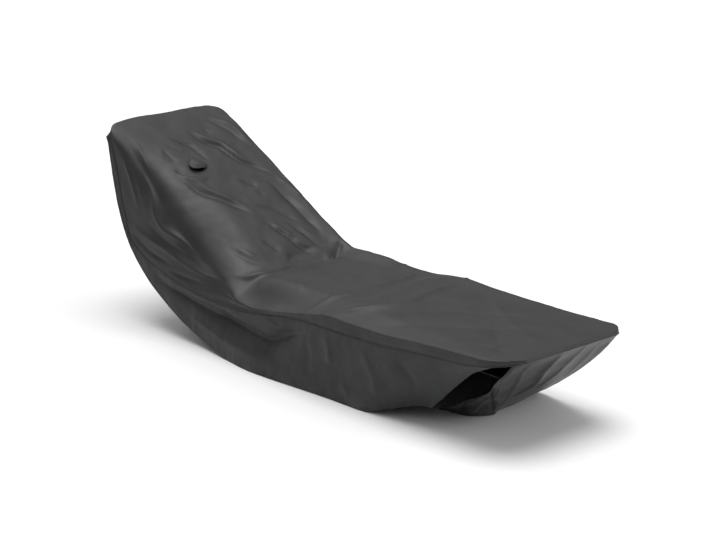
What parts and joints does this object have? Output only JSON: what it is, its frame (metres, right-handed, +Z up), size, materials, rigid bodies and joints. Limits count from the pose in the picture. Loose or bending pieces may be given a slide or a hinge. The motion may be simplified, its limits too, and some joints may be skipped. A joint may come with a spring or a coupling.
{
  "type": "lounge chair cover",
  "caption": "Fitted cover for a slim lounge chair with a raised backrest: a hollow draped shell of coated cloth, open below, with a small hooded vent.",
  "frame": {"origin": "on the floor, under the middle of the cover's length and of its widest points", "axes": "+X towards the foot end, +Y towards the far side, +Z up"},
  "size_m": [2.234, 0.642, 0.7756],
  "materials": {
    "cloth": "dark grey coated polyester in plain weave, dull"
  },
  "bodies": {
    "root": {"top_panel": "cloth", "side_panel_near": "cloth", "side_panel_far": "cloth", "foot_end_panel": "cloth", "head_back_panel": "cloth", "vent_hood": "cloth"}
  },
  "joints": []
}
